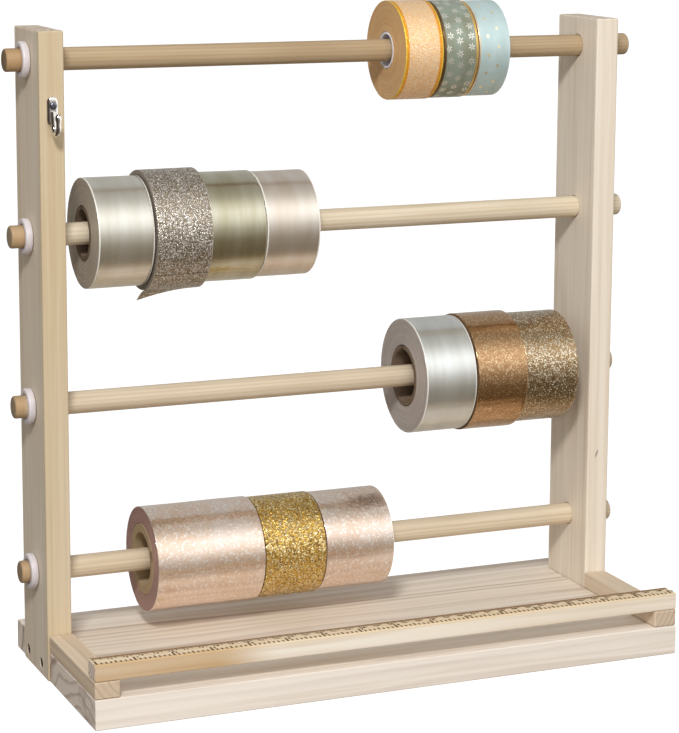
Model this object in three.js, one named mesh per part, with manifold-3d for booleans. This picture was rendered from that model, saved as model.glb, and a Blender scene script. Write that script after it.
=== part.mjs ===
// Tabletop ribbon rack: a pine base with a ruler rail, two posts, four loose rods
// and the rolls of ribbon on them.
// Millimetres. +X runs along the rods to the right, +Y to the back, +Z up.
// The origin is the middle of the base's underside, so the rack stands on Z = 0.

import * as THREE from "three";
import { mergeVertices } from "three/addons/utils/BufferGeometryUtils.js";
import Module from "manifold-3d";

const wasm = await Module();
wasm.setup();

// ---- driving dimensions ----

const RACK_WIDTH = 412;
const BASE_DEPTH = 180;
const BASE_THICKNESS = 20;
const EASED_EDGE = 0.8; // sanded edge of every board
const CORNER_RADIUS = 1.3; // its upright corners, a little rounder
const SEAM = 0.2; // gap left between glued faces
const FIT_GAP = 0.4; // clearance round a post's foot and round the foot screws
const CLOSE_GAP = 0.3; // clearance round the rings, the hook's screw and the cores

const STRIP_WIDTH = 16.5; // strips that lift the rail off the base
const STRIP_HEIGHT = 11.3;
const RAIL_DEPTH = 15;
const RAIL_HEIGHT = 11.5;

const POST_THICKNESS = 16.5;
const POST_DEPTH = 57.5;
const POST_HEIGHT = 426;
const POST_PROUD = 1; // how far a post stands out of the base's end
const POST_FRONT = -BASE_DEPTH / 2 + 101.5;

const ROD_RADIUS = 7.5;
const ROD_END_BEVEL = 1.4;
const ROD_HOLE_RADIUS = 8;
// Each rod's height, and how far it stands out of the base's left and right ends, from the lowest up.
const RODS = [
  { height: 68, left: 11.5, right: 16.5 },
  { height: 179.6, left: 14, right: 15 },
  { height: 292, left: 14.5, right: 19 },
  { height: 406, left: 16, right: 22 },
];

const RING_RADIUS = 11.9; // soft ring that grips a rod outside the left post
const RING_WIDTH = 5;
const RING_BEVEL = 1.6; // of its two corners away from the post

const SCREW_HEIGHT = 8; // centre of the two screws in each post's foot
const SCREW_FROM_POST_FRONT = [16.5, 47.5];
const SCREW_HEAD_RADIUS = 3.3;
const SCREW_SHANK_RADIUS = 1.8;
const SCREW_LENGTH = 36;
const SCREW_POINT = 4;
const SCREW_HEAD_RIM = 0.5; // straight edge of the countersunk head
const SCREW_RECESS = { depth: 1.2, reach: 1.7, width: 0.8 };
const SCREW_SINK = 2.6; // how deep the head lies under the post's face

const HOOK_TOP = 385;
const HOOK_PLATE_WIDTH = 7.4;
const HOOK_PLATE_HEIGHT = 19;
const HOOK_PLATE_THICKNESS = 2;
const HOOK_PLATE_EDGE = 0.4;
const HOOK_WIRE_RADIUS = 1.7;
const HOOK_BEND_RADIUS = 5.2; // of the prong's U, seen from the side
const HOOK_BEND_DROP = 1.2; // from the plate's foot down to the start of the U
const HOOK_PRONG_ROOT = 7; // how far the prong runs up behind the plate's face
const HOOK_PRONG_SINK = 0.2; // how far the prong is sunk into the plate
const HOOK_PRONG_LEAN = 0.8; // how far the tip leans away from the plate
const HOOK_PRONG_RISE = 6.5;
const HOOK_TIP_RADIUS = 2.5;
const HOOK_SCREW_BELOW_TOP = 6;
const HOOK_SCREW_HEAD_RADIUS = 2.6;
const HOOK_SCREW_HEAD_HEIGHT = 1.6;
const HOOK_SCREW_SHANK_RADIUS = 1.4;
const HOOK_SCREW_LENGTH = 13;
const HOOK_SCREW_POINT = 3;
const HOOK_SCREW_RECESS = { depth: 0.9, reach: 1.5, width: 0.7 };

const ROLL_GAP = 0.6; // between neighbouring rolls

const CUT_MARGIN = 0.5; // how far a cutting shape runs past the face it cuts
const ROUND_SIDES = 24;
const ROLL_SIDES = 36;

const WHITE_CORE = { inner: 10.8, outer: 12.4, colour: 0xe8e6ee };
const CARD_CORE = { inner: 15, outer: 18.4, colour: 0x8a7350 };
const WIDE_CARD_CORE = { inner: 18.2, outer: 21.4, colour: 0x7b6a52 };
const THICK_CARD_CORE = { inner: 18.1, outer: 24, colour: 0xa88a5c };

// The rolls on each rod, from left to right. rightEnd is the X of the last roll's right face.
const ROLL_GROUPS = [
  {
    rod: 1,
    rightEnd: 38.5,
    core: THICK_CARD_CORE,
    rolls: [
      { name: "rose_foil", width: 76, radius: 35.6, colour: 0xe2c4b4 },
      { name: "gold_glitter", width: 44, radius: 34.9, colour: 0xc9962f },
      { name: "pink_foil", width: 50, radius: 34.2, colour: 0xe0bfb0 },
    ],
  },
  {
    rod: 2,
    rightEnd: 176.5,
    core: WIDE_CARD_CORE,
    rolls: [
      { name: "pearl_satin", width: 38, radius: 40, colour: 0xd6d8d8 },
      { name: "copper_glitter", width: 38, radius: 41, colour: 0xa87040 },
      { name: "bronze_glitter", width: 40, radius: 38.8, colour: 0x8f6d3a },
    ],
  },
  {
    rod: 3,
    rightEnd: -17.5,
    core: CARD_CORE,
    rolls: [
      { name: "cream_satin", width: 38, radius: 36.5, colour: 0xd9d6c6 },
      { name: "silver_glitter", width: 38, radius: 40, colour: 0xa89a88 },
      { name: "olive_foil", width: 38, radius: 36.7, colour: 0xa59f7a },
      { name: "champagne", width: 38, radius: 35.5, colour: 0xd8cabd },
    ],
  },
  {
    rod: 4,
    rightEnd: 122,
    core: WHITE_CORE,
    rolls: [
      { name: "peach_glitter", width: 28, radius: 33.7, colour: 0xe8b47a },
      { name: "teal_print", width: 25.5, radius: 33.3, colour: 0x93a79a },
      { name: "blue_satin", width: 23.5, radius: 32.8, colour: 0xa8c4c6 },
    ],
  },
];

// ---- places worked out from the dimensions ----

const HALF_WIDTH = RACK_WIDTH / 2;
const BASE_FRONT = -BASE_DEPTH / 2;
const BASE_BACK = BASE_DEPTH / 2;
const POST_BACK = POST_FRONT + POST_DEPTH;
const POST_OUTER = HALF_WIDTH + POST_PROUD;
const POST_INNER = POST_OUTER - POST_THICKNESS;
const ROD_Y = (POST_FRONT + POST_BACK) / 2;
const RAIL_BOTTOM = BASE_THICKNESS + STRIP_HEIGHT;

const rodHeight = (number) => RODS[number - 1].height;

// ---- materials ----

const PINE = { color: 0xe3cfa9, roughness: 0.7, metalness: 0 };
const DOWEL_WOOD = { color: 0xd9bd8c, roughness: 0.6, metalness: 0 };
const SILICONE = { color: 0xe9e6ea, roughness: 0.35, metalness: 0 };
const NICKEL = { color: 0xc4c4c6, roughness: 0.2, metalness: 1 };
const STEEL = { color: 0x3c3632, roughness: 0.45, metalness: 1 };
const ribbonFinish = (colour) => ({ color: colour, roughness: 0.4, metalness: 0.3 });
const coreFinish = (colour) => ({ color: colour, roughness: 0.85, metalness: 0 });

function namedMesh(name, geometry, finish) {
  const mesh = new THREE.Mesh(geometry, new THREE.MeshStandardMaterial(finish));
  mesh.name = name;
  return mesh;
}

// ---- joining and cutting ----

function toSolid(geometry) {
  const bare = geometry.clone();
  bare.deleteAttribute("normal");
  bare.deleteAttribute("uv");
  const merged = mergeVertices(bare, 1e-4);
  return new wasm.Manifold(
    new wasm.Mesh({
      numProp: 3,
      vertProperties: new Float32Array(merged.attributes.position.array),
      triVerts: new Uint32Array(merged.index.array),
    }),
  );
}

function toGeometry(solid) {
  const mesh = solid.getMesh();
  const geometry = new THREE.BufferGeometry();
  geometry.setAttribute("position", new THREE.BufferAttribute(mesh.vertProperties, 3));
  geometry.setIndex(new THREE.BufferAttribute(mesh.triVerts, 1));
  geometry.computeVertexNormals();
  return geometry;
}

const cutAway = (geometry, tools) =>
  toGeometry(tools.reduce((solid, tool) => solid.subtract(toSolid(tool)), toSolid(geometry)));

const joinUp = (geometries) =>
  toGeometry(geometries.map(toSolid).reduce((joined, solid) => joined.add(solid)));

// ---- basic shapes ----

// An outline pushed up from Z = low to Z = high, with all its edges eased.
function easedSlab(shape, low, high) {
  const geometry = new THREE.ExtrudeGeometry(shape, {
    depth: high - low - 2 * EASED_EDGE,
    bevelThickness: EASED_EDGE,
    bevelSize: EASED_EDGE,
    bevelOffset: -EASED_EDGE,
    bevelSegments: 2,
    curveSegments: 2,
  });
  return geometry.translate(0, 0, low + EASED_EDGE);
}

function easedBlock(x, y, z) {
  const shape = new THREE.Shape();
  const r = CORNER_RADIUS;
  shape.moveTo(x[0] + r, y[0]);
  shape.lineTo(x[1] - r, y[0]);
  shape.absarc(x[1] - r, y[0] + r, r, -Math.PI / 2, 0);
  shape.lineTo(x[1], y[1] - r);
  shape.absarc(x[1] - r, y[1] - r, r, 0, Math.PI / 2);
  shape.lineTo(x[0] + r, y[1]);
  shape.absarc(x[0] + r, y[1] - r, r, Math.PI / 2, Math.PI);
  shape.lineTo(x[0], y[0] + r);
  shape.absarc(x[0] + r, y[0] + r, r, Math.PI, 1.5 * Math.PI);
  return easedSlab(shape, z[0], z[1]);
}

// A turned shape whose axis lies along X. The profile's points are [radius, x].
function turnedAlongX(profile, sides) {
  const points = profile.map(([radius, along]) => new THREE.Vector2(radius, along));
  return new THREE.LatheGeometry(points, sides).rotateZ(-Math.PI / 2);
}

// A tube between two radii, from x = 0 to x = length.
function tubeAlongX(inner, outer, length, sides) {
  const profile = [
    [inner, 0],
    [outer, 0],
    [outer, length],
    [inner, length],
    [inner, 0],
  ];
  return turnedAlongX(profile, sides);
}

function peg(radius, length) {
  return turnedAlongX(
    [
      [0, 0],
      [radius, 0],
      [radius, length],
      [0, length],
    ],
    ROUND_SIDES,
  );
}

// ---- base, strips and rail ----

// The base is one board. A notch in each end takes the foot of a post.
function baseBoard() {
  const notchInner = POST_INNER - FIT_GAP;
  const notchFront = POST_FRONT - FIT_GAP;
  const notchBack = POST_BACK + FIT_GAP;
  const shape = new THREE.Shape([
    new THREE.Vector2(-HALF_WIDTH, BASE_FRONT),
    new THREE.Vector2(HALF_WIDTH, BASE_FRONT),
    new THREE.Vector2(HALF_WIDTH, notchFront),
    new THREE.Vector2(notchInner, notchFront),
    new THREE.Vector2(notchInner, notchBack),
    new THREE.Vector2(HALF_WIDTH, notchBack),
    new THREE.Vector2(HALF_WIDTH, BASE_BACK),
    new THREE.Vector2(-HALF_WIDTH, BASE_BACK),
    new THREE.Vector2(-HALF_WIDTH, notchBack),
    new THREE.Vector2(-notchInner, notchBack),
    new THREE.Vector2(-notchInner, notchFront),
    new THREE.Vector2(-HALF_WIDTH, notchFront),
  ]);
  const board = easedSlab(shape, 0, BASE_THICKNESS);
  return namedMesh("base_board", cutAway(board, footScrewHoles()), PINE);
}

function sideStrip(name, side) {
  const outer = side * HALF_WIDTH;
  const inner = side * (HALF_WIDTH - STRIP_WIDTH);
  const block = easedBlock(
    [Math.min(outer, inner), Math.max(outer, inner)],
    [BASE_FRONT, POST_FRONT - FIT_GAP],
    [BASE_THICKNESS + SEAM, RAIL_BOTTOM],
  );
  return namedMesh(name, block, PINE);
}

// The ruler rail bridges the two strips, so a slot is left under it along the whole front.
function rulerRail() {
  const block = easedBlock(
    [-HALF_WIDTH, HALF_WIDTH],
    [BASE_FRONT, BASE_FRONT + RAIL_DEPTH],
    [RAIL_BOTTOM + SEAM, RAIL_BOTTOM + RAIL_HEIGHT],
  );
  return namedMesh("ruler_rail", block, PINE);
}

// ---- posts and their screws ----

const screwY = (index) => POST_FRONT + SCREW_FROM_POST_FRONT[index];

// Puts a shape that points along +X, and starts at x = 0, on a post's outer face,
// so that it points inwards.
function onOuterFace(geometry, side, y, z) {
  if (side > 0) {
    geometry.rotateZ(Math.PI);
  }
  return geometry.translate(side * POST_OUTER, y, z);
}

// The clearance round one screw: a wide hole for the head and a narrow one for the shank.
function footScrewHole(side, index) {
  const head = SCREW_HEAD_RADIUS + FIT_GAP;
  const shank = SCREW_SHANK_RADIUS + FIT_GAP;
  const shoulder = SCREW_SINK + SCREW_HEAD_RADIUS + FIT_GAP;
  const end = SCREW_SINK + SCREW_LENGTH + FIT_GAP;
  const profile = [
    [0, -CUT_MARGIN],
    [head, -CUT_MARGIN],
    [head, SCREW_SINK],
    [shank, shoulder],
    [shank, end],
    [0, end],
  ];
  return onOuterFace(turnedAlongX(profile, ROUND_SIDES), side, screwY(index), SCREW_HEIGHT);
}

const footScrewHoles = () =>
  [-1, 1].flatMap((side) => SCREW_FROM_POST_FRONT.map((_, index) => footScrewHole(side, index)));

// Two slots that cross on the X axis, cut into a head whose face is at x = 0.
function crossRecess({ depth, reach, width }) {
  const run = depth + CUT_MARGIN;
  const slot = (y, z) => new THREE.BoxGeometry(run, y, z).translate(depth - run / 2, 0, 0);
  return [slot(2 * reach, width), slot(width, 2 * reach)];
}

function footScrew(name, side, index) {
  const profile = [
    [0, 0],
    [SCREW_HEAD_RADIUS, 0],
    [SCREW_HEAD_RADIUS, SCREW_HEAD_RIM],
    [SCREW_SHANK_RADIUS, SCREW_HEAD_RIM + SCREW_HEAD_RADIUS - SCREW_SHANK_RADIUS],
    [SCREW_SHANK_RADIUS, SCREW_LENGTH - SCREW_POINT],
    [0, SCREW_LENGTH],
  ];
  const turned = turnedAlongX(profile, ROUND_SIDES);
  const screw = cutAway(turned, crossRecess(SCREW_RECESS)).translate(SCREW_SINK, 0, 0);
  return namedMesh(name, onOuterFace(screw, side, screwY(index), SCREW_HEIGHT), STEEL);
}

function rodHoles(side) {
  const centre = side * (POST_OUTER - POST_THICKNESS / 2);
  return RODS.map(({ height }) =>
    peg(ROD_HOLE_RADIUS, 2 * POST_THICKNESS).translate(centre - POST_THICKNESS, ROD_Y, height),
  );
}

function post(name, side) {
  const outer = side * POST_OUTER;
  const inner = side * POST_INNER;
  const block = easedBlock(
    [Math.min(outer, inner), Math.max(outer, inner)],
    [POST_FRONT, POST_BACK],
    [0, POST_HEIGHT],
  );
  const holes = [...rodHoles(side), ...footScrewHoles()];
  if (side < 0) {
    holes.push(hookScrewHole());
  }
  return namedMesh(name, cutAway(block, holes), PINE);
}

// ---- rods and their rings ----

function rod(number) {
  const { height, left, right } = RODS[number - 1];
  const length = RACK_WIDTH + left + right;
  const flat = ROD_RADIUS - ROD_END_BEVEL;
  const shoulder = ROD_RADIUS - 0.3 * ROD_END_BEVEL;
  const profile = [
    [0, 0],
    [flat, 0],
    [shoulder, 0.4 * ROD_END_BEVEL],
    [ROD_RADIUS, ROD_END_BEVEL],
    [ROD_RADIUS, length - ROD_END_BEVEL],
    [shoulder, length - 0.4 * ROD_END_BEVEL],
    [flat, length],
    [0, length],
  ];
  const turned = turnedAlongX(profile, ROUND_SIDES);
  turned.translate(-HALF_WIDTH - left, ROD_Y, height);
  return namedMesh("rod_" + number, turned, DOWEL_WOOD);
}

// The ring's corners away from the post are bevelled, and its flat back faces the post.
function ring(number) {
  const bore = ROD_RADIUS + CLOSE_GAP;
  const profile = [
    [bore, RING_WIDTH],
    [bore, RING_BEVEL],
    [bore + RING_BEVEL, 0],
    [RING_RADIUS - RING_BEVEL, 0],
    [RING_RADIUS, RING_BEVEL],
    [RING_RADIUS, RING_WIDTH],
    [bore, RING_WIDTH],
  ];
  const turned = turnedAlongX(profile, ROUND_SIDES);
  turned.translate(-POST_OUTER - CLOSE_GAP - RING_WIDTH, ROD_Y, rodHeight(number));
  return namedMesh("rod_ring_" + number, turned, SILICONE);
}

// ---- hook on the left post ----

const HOOK_X = -(POST_OUTER + POST_INNER) / 2;
const HOOK_BACK = POST_FRONT - CLOSE_GAP;
const HOOK_SCREW_Z = HOOK_TOP - HOOK_SCREW_BELOW_TOP;
const HOOK_SCREW_HOLE_RADIUS = HOOK_SCREW_SHANK_RADIUS + CLOSE_GAP;

// Puts a shape that points along +X, and starts at x = 0, on the hook's screw axis,
// so that it points to the back.
const onHookScrewAxis = (geometry, y) =>
  geometry.rotateZ(Math.PI / 2).translate(HOOK_X, y, HOOK_SCREW_Z);

const hookScrewHole = () =>
  onHookScrewAxis(peg(HOOK_SCREW_HOLE_RADIUS, HOOK_SCREW_LENGTH), POST_FRONT - CUT_MARGIN);

function hookPlate() {
  const half = HOOK_PLATE_WIDTH / 2;
  const bottom = HOOK_TOP - HOOK_PLATE_HEIGHT;
  const shape = new THREE.Shape();
  shape.moveTo(half, bottom + half);
  shape.lineTo(half, HOOK_TOP - half);
  shape.absarc(0, HOOK_TOP - half, half, 0, Math.PI);
  shape.lineTo(-half, bottom + half);
  shape.absarc(0, bottom + half, half, Math.PI, 2 * Math.PI);
  const plate = new THREE.ExtrudeGeometry(shape, {
    depth: HOOK_PLATE_THICKNESS - 2 * HOOK_PLATE_EDGE,
    bevelThickness: HOOK_PLATE_EDGE,
    bevelSize: HOOK_PLATE_EDGE,
    bevelOffset: -HOOK_PLATE_EDGE,
    bevelSegments: 1,
    curveSegments: 6,
  });
  plate.translate(0, 0, HOOK_PLATE_EDGE).rotateX(Math.PI / 2);
  return plate.translate(HOOK_X, HOOK_BACK, 0);
}

// The prong leaves the foot of the plate, runs down, turns up in a U and ends in a ball.
function hookProng() {
  const bendSteps = 6;
  const bendZ = HOOK_TOP - HOOK_PLATE_HEIGHT - HOOK_BEND_DROP;
  const nearY = HOOK_BACK - HOOK_WIRE_RADIUS - HOOK_PRONG_SINK;
  const point = (y, z) => new THREE.Vector3(HOOK_X, y, z);
  const points = [
    point(nearY, bendZ + HOOK_PRONG_ROOT),
    point(nearY, bendZ + HOOK_PRONG_ROOT / 2),
  ];
  for (let step = 0; step <= bendSteps; step += 1) {
    const angle = (Math.PI * step) / bendSteps;
    points.push(
      point(
        nearY - HOOK_BEND_RADIUS + HOOK_BEND_RADIUS * Math.cos(angle),
        bendZ - HOOK_BEND_RADIUS * Math.sin(angle),
      ),
    );
  }
  const tipY = nearY - 2 * HOOK_BEND_RADIUS - HOOK_PRONG_LEAN;
  const tipZ = bendZ + HOOK_PRONG_RISE;
  points.push(point(tipY, tipZ));
  const section = new THREE.Shape();
  section.absarc(0, 0, HOOK_WIRE_RADIUS, 0, 2 * Math.PI);
  const prong = new THREE.ExtrudeGeometry(section, {
    extrudePath: new THREE.CatmullRomCurve3(points),
    steps: 18,
    curveSegments: 8,
    bevelEnabled: false,
  });
  const ball = new THREE.SphereGeometry(HOOK_TIP_RADIUS, 12, 8).translate(HOOK_X, tipY, tipZ);
  return [prong, ball];
}

function hook() {
  const joined = joinUp([hookPlate(), ...hookProng()]);
  const drill = peg(HOOK_SCREW_HOLE_RADIUS, 2 * HOOK_PLATE_THICKNESS);
  const hole = onHookScrewAxis(drill, HOOK_BACK - 1.5 * HOOK_PLATE_THICKNESS);
  return namedMesh("hook", cutAway(joined, [hole]), NICKEL);
}

function hookScrew() {
  const profile = [
    [0, 0],
    [0.55 * HOOK_SCREW_HEAD_RADIUS, 0.06 * HOOK_SCREW_HEAD_HEIGHT],
    [0.88 * HOOK_SCREW_HEAD_RADIUS, 0.4 * HOOK_SCREW_HEAD_HEIGHT],
    [HOOK_SCREW_HEAD_RADIUS, HOOK_SCREW_HEAD_HEIGHT],
    [HOOK_SCREW_SHANK_RADIUS, HOOK_SCREW_HEAD_HEIGHT],
    [HOOK_SCREW_SHANK_RADIUS, HOOK_SCREW_LENGTH - HOOK_SCREW_POINT],
    [0, HOOK_SCREW_LENGTH],
  ];
  const turned = turnedAlongX(profile, ROUND_SIDES);
  const screw = cutAway(turned, crossRecess(HOOK_SCREW_RECESS));
  const headFace = HOOK_BACK - HOOK_PLATE_THICKNESS - HOOK_SCREW_HEAD_HEIGHT - CLOSE_GAP;
  return namedMesh("hook_screw", onHookScrewAxis(screw, headFace), NICKEL);
}

// ---- rolls of ribbon ----

// One roll is a core tube with the ribbon wound on it, centred on its rod.
function roll({ name, width, radius, colour }, core, left, height) {
  const coreTube = tubeAlongX(core.inner, core.outer, width, ROUND_SIDES);
  const wound = tubeAlongX(core.outer + CLOSE_GAP, radius, width, ROLL_SIDES);
  return [
    namedMesh(name + "_core", coreTube.translate(left, ROD_Y, height), coreFinish(core.colour)),
    namedMesh(name + "_ribbon", wound.translate(left, ROD_Y, height), ribbonFinish(colour)),
  ];
}

function rollGroup({ rod: number, rightEnd, core, rolls }) {
  const total = rolls.reduce((sum, { width }) => sum + width, 0) + ROLL_GAP * (rolls.length - 1);
  const group = new THREE.Group();
  let left = rightEnd - total;
  for (const each of rolls) {
    group.add(...roll(each, core, left, rodHeight(number)));
    left += each.width + ROLL_GAP;
  }
  return group;
}

// ---- the whole rack ----

const frame = new THREE.Group();
frame.add(
  baseBoard(),
  post("left_post", -1),
  post("right_post", 1),
  sideStrip("left_side_strip", -1),
  sideStrip("right_side_strip", 1),
  rulerRail(),
  footScrew("left_post_screw_front", -1, 0),
  footScrew("left_post_screw_back", -1, 1),
  footScrew("right_post_screw_front", 1, 0),
  footScrew("right_post_screw_back", 1, 1),
  hook(),
  hookScrew(),
);

const rods = new THREE.Group();
RODS.forEach((_, index) => rods.add(rod(index + 1), ring(index + 1)));

const rack = new THREE.Group();
rack.add(frame, rods, ...ROLL_GROUPS.map(rollGroup));

export default rack;
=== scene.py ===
"""Looks for a tabletop ribbon rack: pine boards, rods, soft rings, a hook, and rolls of ribbon.

Metres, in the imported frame: +X to the right along the rods, +Y to the back, +Z up.
"""

import math
import random

import bmesh
import bpy
from mathutils import Matrix, Vector


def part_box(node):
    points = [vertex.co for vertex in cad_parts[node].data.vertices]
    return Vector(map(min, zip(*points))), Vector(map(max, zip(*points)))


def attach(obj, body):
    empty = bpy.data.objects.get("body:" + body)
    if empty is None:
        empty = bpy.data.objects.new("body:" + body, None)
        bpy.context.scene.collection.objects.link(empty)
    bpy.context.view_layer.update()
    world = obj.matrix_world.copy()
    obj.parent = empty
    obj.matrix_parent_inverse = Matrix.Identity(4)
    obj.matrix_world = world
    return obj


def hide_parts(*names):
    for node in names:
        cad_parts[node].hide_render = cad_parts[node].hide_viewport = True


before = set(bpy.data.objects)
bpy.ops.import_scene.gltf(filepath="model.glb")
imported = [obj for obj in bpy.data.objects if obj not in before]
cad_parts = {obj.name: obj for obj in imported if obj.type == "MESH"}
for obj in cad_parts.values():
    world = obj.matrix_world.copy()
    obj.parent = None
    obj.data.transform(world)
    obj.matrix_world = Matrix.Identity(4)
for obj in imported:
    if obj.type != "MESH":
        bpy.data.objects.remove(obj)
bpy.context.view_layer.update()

MM = 0.001
INCH = 25.4 * MM

RODS = (1, 2, 3, 4)  # from the lowest up
SMOOTH_SIDES = 96
SCREW_SIDES = 40


# ---- Node helpers ----


def tone(colour, factor):
    """A colour made darker or lighter by a factor."""
    return tuple(value * factor for value in colour)


class Graph:
    """Short names for building the nodes of one material, or of the world."""

    def __init__(self, name, world=None):
        self.material = world or bpy.data.materials.new(name)
        self.material.use_nodes = True
        self.tree = self.material.node_tree
        self.tree.nodes.clear()
        kind = "World" if world else "Material"
        self.output = self.tree.nodes.new("ShaderNodeOutput" + kind)

    def put(self, socket, value):
        if isinstance(value, bpy.types.NodeSocket):
            self.tree.links.new(value, socket)
        elif socket.type == "RGBA" and len(value) == 3:
            socket.default_value = (*value, 1.0)
        else:
            socket.default_value = value

    def node(self, kind, settings=None, inputs=None):
        made = self.tree.nodes.new("ShaderNode" + kind)
        for key, value in (settings or {}).items():
            setattr(made, key, value)
        for key, value in (inputs or {}).items():
            self.put(made.inputs[key], value)
        return made

    def coords(self, which):
        return self.node("TexCoord").outputs[which]

    def normal(self):
        return self.node("NewGeometry").outputs["Normal"]

    def facing(self, axis):
        """How squarely a face looks along an axis, from 0 to 1."""
        return self.math("ABSOLUTE", self.split(self.normal())[axis])

    def round_x(self):
        """The direction round the X axis, which the ribbons' threads follow."""
        return self.node("Tangent", {"direction_type": "RADIAL", "axis": "X"}).outputs[0]

    def math(self, operation, a, b=0.0, c=0.0, clamp=False):
        settings = {"operation": operation, "use_clamp": clamp}
        return self.node("Math", settings, {0: a, 1: b, 2: c}).outputs[0]

    def add(self, a, b):
        return self.math("ADD", a, b)

    def sub(self, a, b):
        return self.math("SUBTRACT", a, b)

    def mul(self, a, b):
        return self.math("MULTIPLY", a, b)

    def div(self, a, b):
        return self.math("DIVIDE", a, b)

    def fma(self, a, b, c):
        """a times b, plus c."""
        return self.math("MULTIPLY_ADD", a, b, c)

    def vector(self, operation, a, b=(0.0, 0.0, 0.0)):
        return self.node("VectorMath", {"operation": operation}, {0: a, 1: b}).outputs[0]

    def length(self, x, y, z=0.0):
        made = self.node("VectorMath", {"operation": "LENGTH"}, {0: self.join(x, y, z)})
        return made.outputs["Value"]

    def split(self, vector):
        return tuple(self.node("SeparateXYZ", inputs={0: vector}).outputs)

    def join(self, x, y, z):
        return self.node("CombineXYZ", inputs={0: x, 1: y, 2: z}).outputs[0]

    def random(self, vector):
        """A number from 0 to 1 for each point, the same every time."""
        return self.node("TexWhiteNoise", inputs={"Vector": vector}).outputs["Value"]

    def noise(self, vector, scale, detail=3.0, roughness=0.55):
        inputs = {"Vector": vector, "Scale": scale, "Detail": detail, "Roughness": roughness}
        return self.node("TexNoise", inputs=inputs).outputs["Fac"]

    def cells(self, vector, scale, feature="F1"):
        return self.node("TexVoronoi", {"feature": feature}, {"Vector": vector, "Scale": scale})

    def ramp(self, factor, stops):
        made = self.node("ValToRGB", inputs={0: factor})
        elements = made.color_ramp.elements
        while len(elements) < len(stops):
            elements.new(0.5)
        for element, (position, colour) in zip(elements, stops):
            element.position = position
            level = colour if isinstance(colour, tuple) else (colour, colour, colour)
            element.color = (*level, 1.0)
        return made.outputs[0]

    def step(self, value, low, high):
        """0 below low and 1 above high, or the other way round where low is the higher."""
        inputs = {"Value": value, "From Min": low, "From Max": high}
        return self.node("MapRange", {"interpolation_type": "SMOOTHSTEP"}, inputs).outputs[0]

    def mix(self, factor, a, b, blend="MIX"):
        settings = {"data_type": "RGBA", "blend_type": blend}
        return self.node("Mix", settings, {0: factor, 6: a, 7: b}).outputs[2]

    def blend(self, factor, a, b):
        return self.node("Mix", {"data_type": "FLOAT"}, {0: factor, 2: a, 3: b}).outputs[0]

    def bump(self, height, distance, strength, normal=None):
        inputs = {"Height": height, "Distance": distance, "Strength": strength}
        if normal is not None:
            inputs["Normal"] = normal
        return self.node("Bump", inputs=inputs).outputs[0]

    def surface(self, **inputs):
        shader = self.node("BsdfPrincipled")
        for key, value in inputs.items():
            self.put(shader.inputs[key.replace("_", " ")], value)
        self.tree.links.new(shader.outputs[0], self.output.inputs["Surface"])
        return self.material


# ---- Wood ----


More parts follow.
